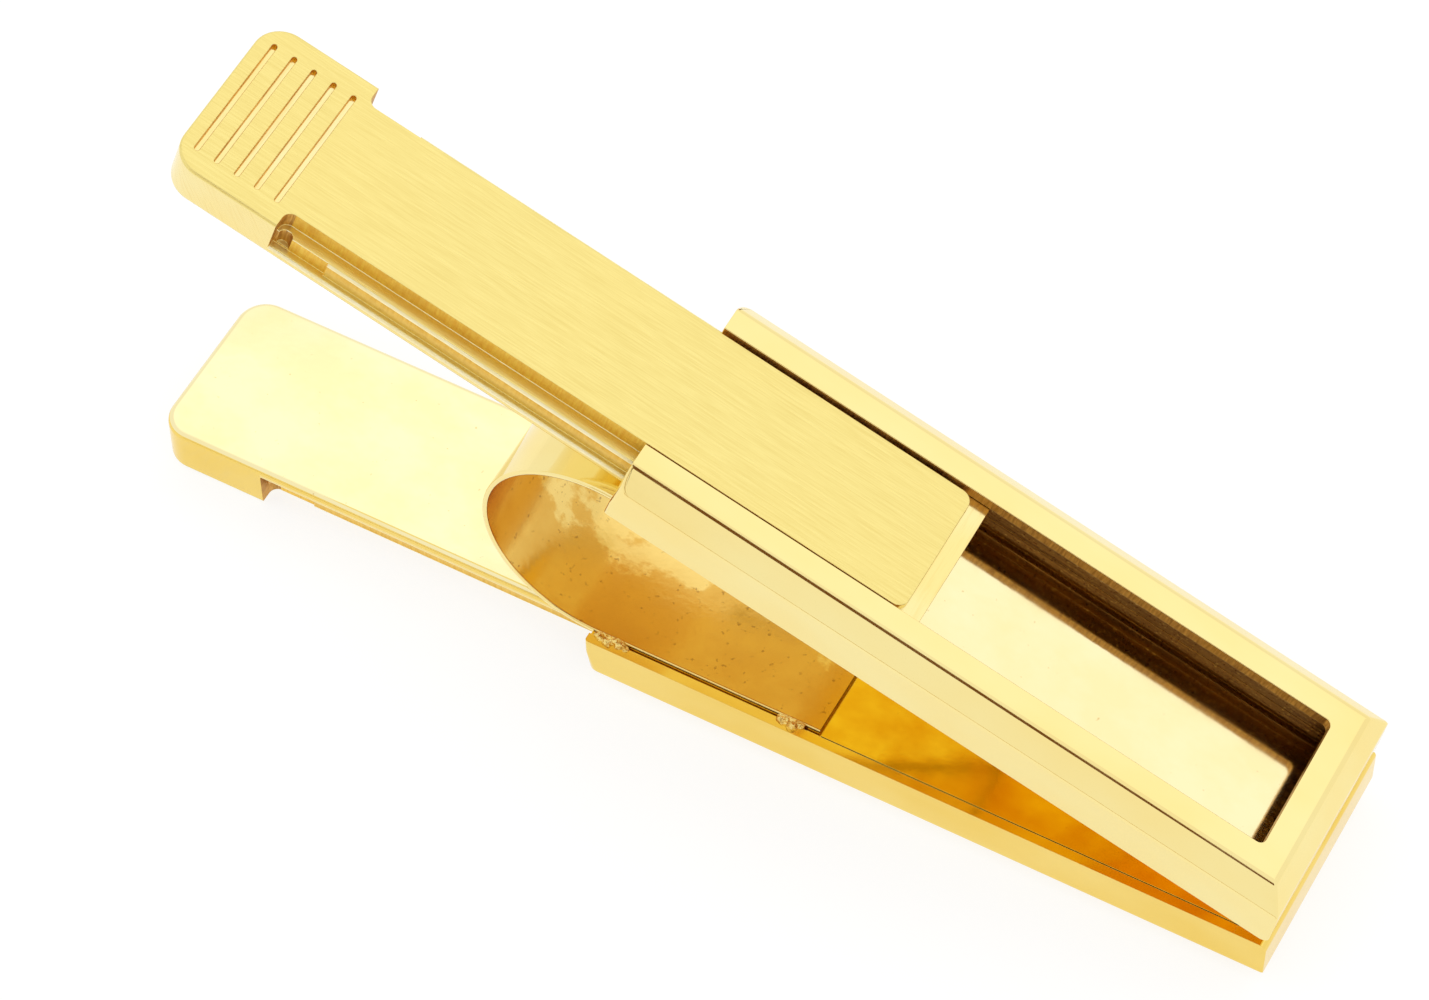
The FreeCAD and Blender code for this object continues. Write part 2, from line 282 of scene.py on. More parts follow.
def soften(obj, radius_of, segments=4, sharpest=20):
    """Rounds every edge sharper than the angle, by the radius that radius_of gives."""
    bm = bmesh.new()
    bm.from_mesh(obj.data)
    layer = bm.edges.layers.float.new("bevel_weight_edge")
    radii = {}
    for edge in bm.edges:
        if len(edge.link_faces) != 2 or edge.calc_face_angle(0) < math.radians(sharpest):
            continue
        middle = (edge.verts[0].co + edge.verts[1].co) / 2
        normals = [f.normal.copy() for f in edge.link_faces]
        radii[edge] = radius_of(middle, normals)
    widest = max(radii.values())
    for edge, radius in radii.items():
        edge[layer] = radius / widest
    bm.to_mesh(obj.data)
    bm.free()
    step = obj.modifiers.new("round", "BEVEL")
    step.limit_method = "WEIGHT"
    step.offset_type = "OFFSET"
    step.width = widest
    step.segments = segments
    step.use_clamp_overlap = False
    step.miter_outer = "MITER_ARC"
    step.harden_normals = False
    return apply_modifiers(obj)


def split_at(obj, x):
    """Divides the long faces at one x, so that they can carry different finishes."""
    bm = bmesh.new()
    bm.from_mesh(obj.data)
    bmesh.ops.bisect_plane(
        bm, geom=bm.verts[:] + bm.edges[:] + bm.faces[:], dist=1e-5,
        plane_co=(x, 0, 0), plane_no=(1, 0, 0),
    )
    bm.to_mesh(obj.data)
    bm.free()


def finish_piece(obj, name, placement, body, nodes, materials, zone_of, smooth=32):
    """Scales a millimetre mesh to metres, paints its zones and ties it to its body."""
    mesh = obj.data
    obj.name = mesh.name = name
    mesh.materials.clear()
    for material in materials:
        mesh.materials.append(material)
    for face in mesh.polygons:
        face.material_index = zone_of(face.center, face.normal)
    mesh.transform(Matrix.Scale(MM, 4))
    mesh.shade_smooth()
    mesh.set_sharp_from_angle(angle=math.radians(smooth))
    step = obj.modifiers.new("normals", "WEIGHTED_NORMAL")
    step.keep_sharp = True
    step.weight = 100
    apply_modifiers(obj)
    obj.matrix_world = placement
    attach(obj, body)
    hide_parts(*nodes)
    return obj


# ------------------------------------------------------------------ materials

class Nodes:
    """Short ways to build one material's node tree."""

    def __init__(self, name):
        self.material = bpy.data.materials.new(name)
        self.material.use_nodes = True
        self.tree = self.material.node_tree
        self.shader = self.tree.nodes["Principled BSDF"]
        self.place = self.tree.nodes.new("ShaderNodeTexCoord").outputs["Object"]

    def node(self, kind, **sockets):
        made = self.tree.nodes.new(kind)
        for key, value in sockets.items():
            self.put(made.inputs[key.replace("_", " ")], value)
        return made

    def put(self, socket, value):
        if isinstance(value, bpy.types.NodeSocket):
            self.tree.links.new(value, socket)
        else:
            socket.default_value = value

    def noise(self, scale, detail=2.0, rough=0.5, distort=0.0, turn=0.0):
        """Noise with a different scale along each axis, per metre, leaning by turn in xz."""
        place = self.place
        if turn:
            leaning = self.node("ShaderNodeMapping", Vector=place)
            leaning.inputs["Rotation"].default_value = (0, turn, 0)
            place = leaning.outputs[0]
        mapping = self.node("ShaderNodeMapping", Vector=place)
        mapping.inputs["Scale"].default_value = scale
        made = self.node(
            "ShaderNodeTexNoise", Vector=mapping.outputs[0], Scale=1.0,
            Detail=detail, Roughness=rough, Distortion=distort,
        )
        return made.outputs["Fac"]

    def spread(self, value, low, high, to_low=0.0, to_high=1.0):
        made = self.node("ShaderNodeMapRange", Value=value)
        for key, number in (
            ("From Min", low), ("From Max", high), ("To Min", to_low), ("To Max", to_high)
        ):
            made.inputs[key].default_value = number
        return made.outputs[0]

    def math(self, operation, a, b=0.0):
        made = self.tree.nodes.new("ShaderNodeMath")
        made.operation = operation
        self.put(made.inputs[0], a)
        self.put(made.inputs[1], b)
        return made.outputs[0]

    def mix(self, factor, a, b):
        made = self.tree.nodes.new("ShaderNodeMix")
        made.data_type = "RGBA"
        self.put(made.inputs[0], factor)
        for socket, value in ((made.inputs[6], a), (made.inputs[7], b)):
            self.put(socket, value if isinstance(value, bpy.types.NodeSocket) else (*value, 1))
        return made.outputs[2]

    def bump(self, height, strength, distance, under=None):
        made = self.node("ShaderNodeBump", Strength=strength, Distance=distance, Height=height)
        if under is not None:
            self.put(made.inputs["Normal"], under)
        return made.outputs[0]

    def axis(self, index):
        return self.node("ShaderNodeSeparateXYZ", Vector=self.place).outputs[index]

    def metal(self, colour, roughness, normal=None):
        self.shader.inputs["Metallic"].default_value = 1.0
        self.put(self.shader.inputs["Base Color"], colour)
        self.put(self.shader.inputs["Roughness"], roughness)
        if normal is not None:
            self.put(self.shader.inputs["Normal"], normal)
        return self.material


GOLD = (0.93, 0.79, 0.36)
WARM_GOLD = (0.93, 0.75, 0.30)
SATIN_GOLD = (0.90, 0.745, 0.27)
# Painted shade: the two deeper golds are shaded copies of the polished and machined golds for the
# lower arm. They stand in for the floor's shade reflected in its sides.
SHADED_GOLD = (0.91, 0.68, 0.19)
SHADED_WARM_GOLD = (0.88, 0.62, 0.13)
# Painted shade: dark brown for inside the channel, its gaps and the spring's cut end.
CHANNEL_SHADE_COLOUR = (0.20, 0.10, 0.035)


def polished_gold(name, pale, warm):
    n = Nodes(name)
    cloud = n.noise((90, 160, 160), 3)
    colour = n.mix(n.spread(cloud, 0.35, 0.65), pale, warm)
    smear = n.noise((300, 1500, 900), 4)
    hair = n.noise((400, 14000, 9000), 2)
    wave = n.noise((60, 220, 220), 1)
    normal = n.bump(wave, 0.25, 0.0002)
    normal = n.bump(hair, 0.04, 0.00001, normal)
    return n.metal(colour, n.spread(smear, 0.3, 0.7, 0.06, 0.13), normal)


def brushed_gold():
    n = Nodes("brushed gold plate")
    grain = n.noise((260, 9000, 9000), 4, 0.65)
    fine = n.noise((500, 24000, 24000), 3, 0.6)
    streaks = n.math("ADD", n.math("MULTIPLY", grain, 0.65), n.math("MULTIPLY", fine, 0.35))
    cloud = n.noise((60, 130, 130), 2)
    base = n.mix(n.spread(cloud, 0.35, 0.65), SATIN_GOLD, (0.89, 0.745, 0.275))
    colour = n.mix(n.spread(streaks, 0.4, 0.62, 0.0, 0.5), base, (0.75, 0.58, 0.165))
    normal = n.bump(streaks, 0.35, 0.00003)
    return n.metal(colour, n.spread(streaks, 0.3, 0.7, 0.24, 0.4), normal)


def machined_gold(name, pale, warm):
    """Polished sides that still show the fine slanted lines of the cutter."""
    n = Nodes(name)
    lines = n.noise((6500, 300, 500), 3, 0.6, turn=0.6)
    cloud = n.noise((90, 160, 160), 3)
    colour = n.mix(n.spread(cloud, 0.35, 0.65), pale, warm)
    colour = n.mix(n.spread(lines, 0.5, 0.7, 0.0, 0.35), colour, (0.84, 0.62, 0.2))
    normal = n.bump(lines, 0.12, 0.00002)
    return n.metal(colour, n.spread(lines, 0.3, 0.7, 0.12, 0.2), normal)


def shaded_milled_gold(name, pale, dark):
    """Milled walls painted brown as shade."""
    n = Nodes(name)
    marks = n.noise((6500, 400, 700), 3, 0.6)
    blot = n.noise((500, 500, 1200), 3)
    colour = n.mix(n.spread(marks, 0.35, 0.65), dark, pale)
    colour = n.mix(n.spread(blot, 0.45, 0.7, 0.0, 0.35), colour, (0.62, 0.32, 0.04))
    normal = n.bump(marks, 0.3, 0.00003)
    return n.metal(colour, n.spread(blot, 0.3, 0.7, 0.42, 0.55), normal)


def shaded_rail_gold():
    """A slider's lower step: rough-milled at the top, running into polish at its foot; its colour
    is painted darker towards the top as shade.
    """
    n = Nodes("slider rail shade gold")
    height = n.axis(2)
    # Painted shade: this mask darkens the colour towards the top of the step, and also makes the
    # top rougher.
    upper = n.spread(height, 1.45 * MM, 2.5 * MM)
    marks = n.noise((5000, 400, 900), 3, 0.6)
    rough = n.mix(n.spread(marks, 0.35, 0.65), (0.74, 0.43, 0.05), (0.86, 0.55, 0.10))
    colour = n.mix(upper, (0.93, 0.74, 0.28), rough)
    normal = n.bump(marks, 0.12, 0.00003)
    return n.metal(colour, n.spread(upper, 0, 1, 0.36, 0.42), normal)


def highlight_ridge_gold():
    """Ridges painted pale as a highlight, with soft roughness."""
    n = Nodes("ridge highlight gold")
    marks = n.noise((900, 5000, 5000), 3, 0.6)
    colour = n.mix(n.spread(marks, 0.35, 0.65), (0.97, 0.90, 0.62), (0.95, 0.84, 0.48))
    return n.metal(colour, n.spread(marks, 0.3, 0.7, 0.48, 0.58), n.bump(marks, 0.1, 0.00002))


def channel_shade_bronze():
    """Walls inside the housing, painted dark as shade and streaked along their length."""
    n = Nodes("channel shade bronze")
    band = n.noise((120, 2500, 2600), 3, 0.6)
    speck = n.noise((5000, 5000, 5000), 2)
    colour = n.mix(n.spread(band, 0.35, 0.68), CHANNEL_SHADE_COLOUR, (0.42, 0.23, 0.07))
    colour = n.mix(n.spread(speck, 0.62, 0.72, 0.0, 0.7), colour, (0.75, 0.52, 0.18))
    normal = n.bump(n.noise((3500, 600, 5200), 2), 0.25, 0.00004)
    return n.metal(colour, n.spread(speck, 0.3, 0.7, 0.25, 0.42), normal)


def shaded_spring_gold():
    n = Nodes("spring shade gold")
    # Painted shade and highlight: the deep orange base is shade on the bow's inner face, and the
    # paler gold patches, growing towards one side of the width, are a painted highlight. The dark
    # pits are the metal's own.
    cloud = n.noise((220, 260, 220), 4, 0.6)
    pits = n.noise((2600, 2600, 2600), 2)
    patch = n.noise((260, 330, 260), 5, 0.62)
    highlight_slope = n.math("ADD", n.math("MULTIPLY", n.axis(1), 60.0), 0.12)
    painted_highlight = n.math("ADD", n.math("MULTIPLY", patch, 0.9), highlight_slope)
    colour = n.mix(n.spread(cloud, 0.38, 0.62), (0.77, 0.47, 0.10), (0.73, 0.42, 0.08))
    colour = n.mix(n.spread(painted_highlight, 0.5, 0.56, 0.0, 0.8), colour, (0.90, 0.67, 0.22))
    colour = n.mix(n.spread(pits, 0.66, 0.74, 0.0, 0.6), colour, (0.32, 0.15, 0.03))
    normal = n.bump(cloud, 0.15, 0.0001)
    normal = n.bump(pits, 0.12, 0.00004, normal)
    return n.metal(colour, n.spread(cloud, 0.3, 0.7, 0.12, 0.24), normal)


def plate_gold(name, pale, warm):
    n = Nodes(name)
    cloud = n.noise((160, 220, 220), 4, 0.6)
    pits = n.noise((2400, 2400, 2400), 2)
    colour = n.mix(n.spread(cloud, 0.38, 0.62), pale, warm)
    colour = n.mix(n.spread(pits, 0.72, 0.78, 0.0, 0.4), colour, (0.55, 0.28, 0.05))
    normal = n.bump(cloud, 0.08, 0.0001)
    return n.metal(colour, n.spread(cloud, 0.3, 0.7, 0.05, 0.12), normal)


def solder_brass():
    n = Nodes("hard solder")
    lumps = n.noise((2600, 2600, 2600), 4, 0.65)
    colour = n.mix(n.spread(lumps, 0.38, 0.6), (0.60, 0.30, 0.04), (0.97, 0.76, 0.26))
    normal = n.bump(lumps, 0.6, 0.0001)
    return n.metal(colour, n.spread(lumps, 0.3, 0.7, 0.14, 0.35), normal)


def dark_steel():
    n = Nodes("pin and lug steel")
    marks = n.noise((900, 7000, 900), 3)
    colour = n.mix(n.spread(marks, 0.35, 0.65), (0.55, 0.50, 0.42), (0.70, 0.62, 0.48))
    return n.metal(colour, n.spread(marks, 0.3, 0.7, 0.2, 0.35), n.bump(marks, 0.2, 0.00003))


POLISHED = polished_gold("polished gold plate", GOLD, WARM_GOLD)
# Painted shade: a shaded copy of the polished gold, for the lower housing.
SHADED_POLISHED = polished_gold("shaded polished gold plate", SHADED_GOLD, SHADED_WARM_GOLD)
BRUSHED = brushed_gold()
MACHINED = machined_gold("machined gold sides", (0.93, 0.80, 0.40), WARM_GOLD)
# Painted shade: a shaded copy of the machined gold, for the lower slider.
SHADED_MACHINED = machined_gold("shaded machined gold sides", SHADED_GOLD, SHADED_WARM_GOLD)
# Painted shade: the slider's walls beside its top step are painted brown.
MILLED_SHADE = shaded_milled_gold("milled shade gold", (0.93, 0.66, 0.13), (0.86, 0.52, 0.08))
# Painted shade: the window's lip and the slider's cavity are painted dark brown.
LIP_SHADE = shaded_milled_gold("window lip shade", (0.74, 0.44, 0.12), (0.40, 0.19, 0.04))
# Painted shade: the walls of the thumb grooves are painted deep orange.
GROOVE_SHADE = shaded_milled_gold("groove wall shade", (0.90, 0.50, 0.03), (0.74, 0.36, 0.01))
# Painted shade: the lower step is darker towards its top.
RAIL_SHADE = shaded_rail_gold()
# Painted highlight: the ridges and the flange's top edge are painted pale.
RIDGE_HIGHLIGHT = highlight_ridge_gold()
# Painted shade for the channel walls, the plate's step and the spring's cut end.
CHANNEL_SHADE = channel_shade_bronze()
# Painted shade and highlight on the inner face of the bow spring.
SHADED_SPRING = shaded_spring_gold()
# Painted sheen: a paler, lit copy of the plate gold, for the channel side and the slider's inner
# face.
LIT_PLATE = plate_gold("back plate gold", (0.93, 0.83, 0.48), (0.93, 0.80, 0.42))
# Painted shade and reflection: a deep orange copy for the plate's inner face, which faces the other
# arm.
SHADED_INNER_PLATE = plate_gold("inner plate shade gold", (0.95, 0.72, 0.11), (0.86, 0.55, 0.05))
SOLDER = solder_brass()
STEEL = dark_steel()


# -------------------------------------------------------------------- housing

def hinge_notches():
    """Room in the upper arm for the lower arm's lugs through the whole swing."""
    x, z, r = -PIVOT_INSET, PIVOT_HEIGHT, LUG_RADIUS + NOTCH_PLAY
    cos, sin = math.cos(OPEN_ANGLE), math.sin(OPEN_ANGLE)
    foot = (x + r * cos + NECK_REACH * sin, z + r * sin - NECK_REACH * cos)
    outline = [(x - r, foot[1]), foot]
    outline += arc((x, z), r, math.degrees(OPEN_ANGLE), 180, 10)
    y_range = (LUG_SPAN[0] - NOTCH_PLAY, LUG_SPAN[1] + NOTCH_PLAY)
    return [
        prism(outline, "xz", *sorted((sign * y_range[0], sign * y_range[1])))
        for sign in (-1, 1)
    ]


def housing_plan(corner):
    length, side = HOUSING_LENGTH, HALF_WIDTH
    plan = [(2, -side), (2, side)]
    plan += arc((corner - length, side - corner), corner, 90, 180, 8)
    plan += arc((corner - length, corner - side), corner, 180, 270, 8)
    return plan


def housing(rake, extra_cuts):
    """The open end's corners are crisp below and polished rounder towards the bevel."""
    length, side = HOUSING_LENGTH, HALF_WIDTH
    crisp, rounder = housing_plan(OPEN_CORNER), housing_plan(OPEN_CORNER_TOP)
    body = loft([crisp, crisp, rounder], (-3, OPEN_CORNER_LEVEL, ARM_HEIGHT))
    foot = ARM_HEIGHT - BEVEL_HEIGHT
    slope = math.degrees(math.atan2(foot, -rake))
    turn = INNER_END_ROUND
    inset = turn / math.tan(math.radians(90 - slope / 2))
    profile = [(-length - 2, 0)]
    profile += arc((rake - inset, turn), turn, -90, slope - 90, 6)
    profile += [(0, foot), (-BEVEL_WIDTH, ARM_HEIGHT), (-BEVEL_WIDTH, 6), (-length - 2, 6)]
    combine(body, [prism(profile, "xz", -10, 10)], "INTERSECT")
    top, out = ARM_HEIGHT + BEVEL_HEIGHT, side + BEVEL_WIDTH
    cuts = []
    for s in (-1, 1):
        wedge = [
            (s * (side - 2 * BEVEL_WIDTH), top),
            (s * out, foot - BEVEL_HEIGHT),
            (s * (out + 2), top),
        ]
        cuts.append(prism(wedge, "yz", -length - 3, 3))
    window = [(-length - 3, -WINDOW_HALF_WIDTH)]
    reach = (WINDOW_END - WINDOW_CORNER, WINDOW_HALF_WIDTH - WINDOW_CORNER)
    window += arc((reach[0], -reach[1]), WINDOW_CORNER, -90, 0, 6)
    window += arc(reach, WINDOW_CORNER, 0, 90, 6)
    window += [(-length - 3, WINDOW_HALF_WIDTH)]
    cuts.append(prism(window, "xy", CHANNEL_LEVELS[1] - 1, 7))
    beyond = -length - 3
    wide = (-CHANNEL_HALF_WIDTH, CHANNEL_HALF_WIDTH)
    cuts.append(box((beyond, CHANNEL_END), wide, CHANNEL_LEVELS))
    plate = (-PLATE_HALF_WIDTH - PLATE_SLIT, PLATE_HALF_WIDTH + PLATE_SLIT)
    cuts.append(box((beyond, PLATE_END), plate, (-1, CHANNEL_LEVELS[0] + PLATE_OVERCUT)))
    ears, half, levels = EAR_GROOVE
    cuts.append(box(ears, (-half, half), levels))
    combine(body, cuts + extra_cuts, "DIFFERENCE")
    return clean(body)


def housing_radius(middle, normals):
    """Polished outer creases are rounder than the window's and the channel's edges."""
    up = max(n.z for n in normals)
    tilted = [n for n in normals if 0.5 < n.z < 0.9]
    if tilted and up > 0.95:
        return TOP_CREASE_ROUND
    if tilted:
        return SIDE_CREASE_ROUND
    inner_end = middle.x > -INNER_END_ROUND - 0.2 and middle.z < ARM_HEIGHT - BEVEL_HEIGHT - 0.05
    return PLATE_EDGE_ROUND if middle.z < 0.8 or inner_end else HOUSING_EDGE_ROUND


def housing_zone(centre, normal):
    """0 polished outside, 1 channel painted dark as shade, 2 window lip painted brown as shade."""
    x, y, z = centre.x, abs(centre.y), centre.z
    bottom, top = CHANNEL_LEVELS
    if x < 0.1 - HOUSING_LENGTH:
        return 0
    if x < CHANNEL_END + 0.05 and y < EAR_GROOVE[1] + 0.1 and bottom + 0.01 < z < top + 0.08:
        return 1
    upright = abs(normal.z) < 0.5
    if z < PLATE_LEVELS[1] + 0.03 and y < PLATE_HALF_WIDTH + 0.15:
        return 1 if upright and x < PLATE_END + 0.1 else 0
    wall = x < WINDOW_END + 0.13 and y < WINDOW_HALF_WIDTH + 0.06 and z > top - 0.12
    return 2 if wall and upright else 0


def make_housing(name, rake, extra_cuts, placement, body, outside):
    # Painted shade: the channel walls and the window's lip are painted dark.
    obj = soften(housing(rake, extra_cuts), housing_radius)
    return finish_piece(
        obj, name, placement, body, [name.replace("_shell", "_housing")],
        [outside, CHANNEL_SHADE, LIP_SHADE], housing_zone,
    )


make_housing("upper_shell", END_RAKE, hinge_notches(), UPPER_ARM, "upper_arm", POLISHED)
# The lower housing takes the shaded copy of the polished gold, which is painted shade.
make_housing("lower_shell", 0.0, [], LOWER_ARM, "lower_arm", SHADED_POLISHED)


def plate_zone(centre, normal):
    """0 channel side in the pale, lit copy, 1 inner face painted deep orange as shade and
    reflection, 2 step against the spring's leg painted dark as its shadow.
    """
    if normal.z > 0.5:
        return 0
    return 2 if normal.x < -0.5 and centre.x > -HOUSING_LENGTH + 1 else 1


def make_back_plate(name, placement, body, node):
    """Plate closing the channel, thinner at the tip end where the spring's leg lies."""
    low, high = PLATE_LEVELS
    profile = [
        (-HOUSING_LENGTH, SEAT_LEVEL), (-SEAT_START, SEAT_LEVEL), (-SEAT_START, low),
        (PLATE_END, low), (PLATE_END, high), (-HOUSING_LENGTH, high),
    ]
    obj = prism(profile, "xz", -PLATE_HALF_WIDTH, PLATE_HALF_WIDTH)
    soften(obj, lambda middle, normals: PLATE_EDGE_ROUND)
    return finish_piece(
        obj, name, placement, body, [node],
        [LIT_PLATE, SHADED_INNER_PLATE, CHANNEL_SHADE], plate_zone,
    )


make_back_plate("upper_plate", UPPER_ARM, "upper_arm", "upper_back_plate")
make_back_plate("lower_plate", LOWER_ARM, "lower_arm", "lower_back_plate")


# --------------------------------------------------------------------- slider

def slot_outline(x, length, width):
    reach = length / 2 - width / 2
    return arc((x, reach), width / 2, 0, 180, 8) + arc((x, -reach), width / 2, 180, 360, 8)


def mirrored(outline):
    return [(x, -y) for x, y in reversed(outline)]


def block_cutter():
    """The relief round the rear end of the top step, above the rear block."""
    half, k = TOP_HALF_WIDTH, TOP_REAR_CORNER
    side = [(BLOCK_START - OVERRUN, 8), (BLOCK_START - OVERRUN, half)]
    side += arc((TOP_REAR - k, half - k), k, 90, 0, 8)
    outline = side + mirrored(side) + [(-20, -8), (-20, 8)]
    return prism(outline, "xy", FLANGE_TOP, 6)


def step_cutters(half, corner, low, high):
    """One step along both sides of the bar, milled round against the shoulder."""
    outline = [(SHOULDER, 8)]
    outline += arc((SHOULDER + corner, half + corner), corner, 180, 270, 8)
    outline += [(BLOCK_START, half), (BLOCK_START, 8)]
    return [prism(side, "xy", low, high) for side in (outline, mirrored(outline))]


def side_recess(sign):
    """A shallow pocket that cuts the lower step back behind the shoulder."""
    span = sorted((sign * RECESS_HALF_WIDTH, sign * 8))
    return box(RECESS, span, (FLANGE_LEVEL, STEP_LEVEL + OVERRUN))


def slider():
    r, tip, half = TIP_CORNER, TIP, FLANGE_HALF_WIDTH
    plan = [(SLIDER_REAR, -half), (SLIDER_REAR, half)]
    plan += arc((tip + r, half - r), r, 90, 180, 14)
    plan += arc((tip + r, r - half), r, 180, 270, 14)
    body = prism(plan, "xy", SLIDER_BOTTOM, SLIDER_TOP)
    cuts = [block_cutter(), side_recess(1), side_recess(-1)]
    cuts += step_cutters(TOP_HALF_WIDTH, SHOULDER_CORNER, STEP_LEVEL, 6)
    cuts += step_cutters(STEP_HALF_WIDTH, STEP_CORNER, FLANGE_LEVEL, STEP_LEVEL + OVERRUN)
    x, y, radius = CAVITY
    for sign in (-1, 1):
        hole = arc((x, sign * y), radius, 0, 337.5, 15)
        cuts.append(prism(hole, "xy", FLANGE_LEVEL + 0.1, STEP_LEVEL + 0.2))
    combine(body, cuts, "DIFFERENCE")
    ears, ear_half, levels = EARS
    combine(body, [box(ears, (-ear_half, ear_half), levels)], "UNION")
    return clean(body)


def slider_radius(middle, normals):
    top = max(n.z for n in normals) > 0.95 and middle.z > SLIDER_TOP - NEAR
    outer = abs(middle.y) > 5.9 or middle.x < TIP + 1.9
    if middle.z < SLIDER_BOTTOM + NEAR and middle.x < SLIDER_REAR - 0.1:
        return INNER_EDGE_ROUND
    if top and outer and middle.x < SHOULDER - NEAR:
        return HEAD_EDGE_ROUND
    if top and middle.x < SHOULDER - NEAR:
        return NARROW_EDGE_ROUND
    ridge = abs(middle.z - STEP_LEVEL) < NEAR and abs(abs(middle.y) - STEP_HALF_WIDTH) < NEAR
    foot = abs(middle.z - FLANGE_LEVEL) < NEAR and abs(middle.y) > FLANGE_HALF_WIDTH - NEAR
    return RIDGE_ROUND if ridge or foot else SLIDER_EDGE_ROUND


def groove_tool(x):
    """A slot cutter whose mouth is flared, so that it also breaks the groove's edge."""
    levels = (
        (SLIDER_TOP - GROOVE_DEPTH, 0),
        (SLIDER_TOP - GROOVE_FLARE, 0),
        (SLIDER_TOP + 1, GROOVE_FLARE + 1),
    )
    outlines = [
        slot_outline(x, GROOVE_LENGTH + 2 * grow, GROOVE_WIDTH + 2 * grow) for z, grow in levels
    ]
    return loft(outlines, [z for z, grow in levels])


def slider_zone(centre, normal):
    """Which of the slider's finishes a face has.

    0 outer sides, 1 brushed top, 2 milled walls painted brown as shade, 3 lower step painted
    darker towards its top as shade, 4 inner face in the pale lit plate gold, 5 thumb grooves
    painted orange as shade, 6 satin floors, 7 cavity painted dark brown as shade, 8 ridges painted
    pale as a highlight.
    """
    if normal.z < -0.8:
        return 4
    on_head = centre.x < SHOULDER - NEAR
    if on_head and abs(centre.y) < GROOVE_LENGTH / 2 + 0.05 and centre.x > TIP + 0.8:
        if abs(normal.z) < 0.3 and centre.z > SLIDER_TOP - GROOVE_DEPTH - 0.05:
            return 5
    if normal.z > 0.8 and centre.z > SLIDER_TOP - 0.1:
        return 1
    if centre.z > SLIDER_TOP - HEAD_EDGE_ROUND - 0.01 and centre.x < SHOULDER - 0.05:
        return 1
    if on_head and (abs(normal.x) < 0.9 or centre.x < TIP + TIP_CORNER):
        return 0
    tilted = 0.15 < normal.z < 0.97 and abs(normal.x) < 0.2 and centre.x < BLOCK_START
    if tilted and (abs(centre.y) > 5.85 or abs(centre.z - STEP_LEVEL) < RIDGE_ROUND + 0.02):
        return 8
    if abs(normal.z) < 0.7 and FLANGE_LEVEL < centre.z and centre.x < CAVITY[0] + CAVITY[2]:
        return 7
    if centre.z > STEP_LEVEL + NEAR and abs(normal.z) < 0.7 and centre.x < BLOCK_START + 0.1:
        return 2
    if abs(normal.z) > 0.8 and centre.z < STEP_LEVEL + 0.05:
        return 6
    if centre.z > FLANGE_LEVEL and centre.x < BLOCK_START and centre.z < STEP_LEVEL:
        return 2 if centre.x < RECESS[1] + 0.1 else 3
    return 0


def make_slider(name, placement, body, node, outside):
    obj = soften(slider(), slider_radius)
    grooves = [groove_tool(GROOVE_FIRST + k * GROOVE_PITCH) for k in range(GROOVE_COUNT)]
    combine(obj, grooves, "DIFFERENCE")
    split_at(obj, SHOULDER)
    # Painted light and shade in the slider's zones: shade on its walls, lower step, grooves and
    # cavity, and a highlight on its ridges.
    return finish_piece(
        obj, name, placement, body, [node],
        [outside, BRUSHED, MILLED_SHADE, RAIL_SHADE, LIT_PLATE, GROOVE_SHADE, BRUSHED, LIP_SHADE, RIDGE_HIGHLIGHT], slider_zone,
    )


make_slider("upper_slide", UPPER_ARM, "upper_slide_bar", "upper_slider", MACHINED)
# The lower slider takes the shaded copy of the machined gold, which is painted shade.
make_slider(
    "lower_slide", LOWER_ARM @ Matrix.Translation((LOWER_SLIDER_SHORT * MM, 0, 0)),
    "lower_slide_bar", "lower_slider", SHADED_MACHINED,
)


# ----------------------------------------------------------- spring and solder

def spring_stations():
    """Centreline points and outward normals of the bow, in the row frame's xz plane, mm."""
    low, high = [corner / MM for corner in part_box("bow_spring")]
    half = SPRING_THICKNESS / 2
    bottom = low.z + half
    centre_x = LOWER_END / MM - BOW_START
    radius = centre_x - half - low.x
    stations = []
    start = high.x - LEG_GAP
    for i in range(LEG_STEPS + 1):
        x = start + (centre_x - start) * i / LEG_STEPS
        stations.append((x, bottom, 0.0, -1.0))
    turn = math.pi + OPEN_ANGLE
    for i in range(1, TURN_STEPS + 1):
        a = turn * i / TURN_STEPS
        nx, nz = -math.sin(a), -math.cos(a)
        stations.append((centre_x + nx * radius, bottom + radius + nz * radius, nx, nz))
    x, z, nx, nz = stations[-1]
    for i in range(1, LEG_STEPS + 1):
        reach = UPPER_LEG * i / LEG_STEPS
        stations.append((x + nz * reach, z - nx * reach, nx, nz))
    return stations


def bow_zone(centre, normal):
    """0 inner face painted darker as shade, 1 polished outer face and edges, 2 cut end painted dark
    as the shadow of the gap.
    """
    low, high = [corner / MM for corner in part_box("bow_spring")]
    if centre.x > high.x - LEG_GAP - 0.01:
        return 2
    hub = Vector((LOWER_END / MM - BOW_START, 0, (low.z + high.z) / 2))
    if centre.x > hub.x:
        inward = centre.z < hub.z and normal.z > 0.5
    else:
        inward = normal.dot(hub - Vector((centre.x, 0, centre.z))) > 0
    return 0 if inward and abs(normal.y) < 0.5 else 1


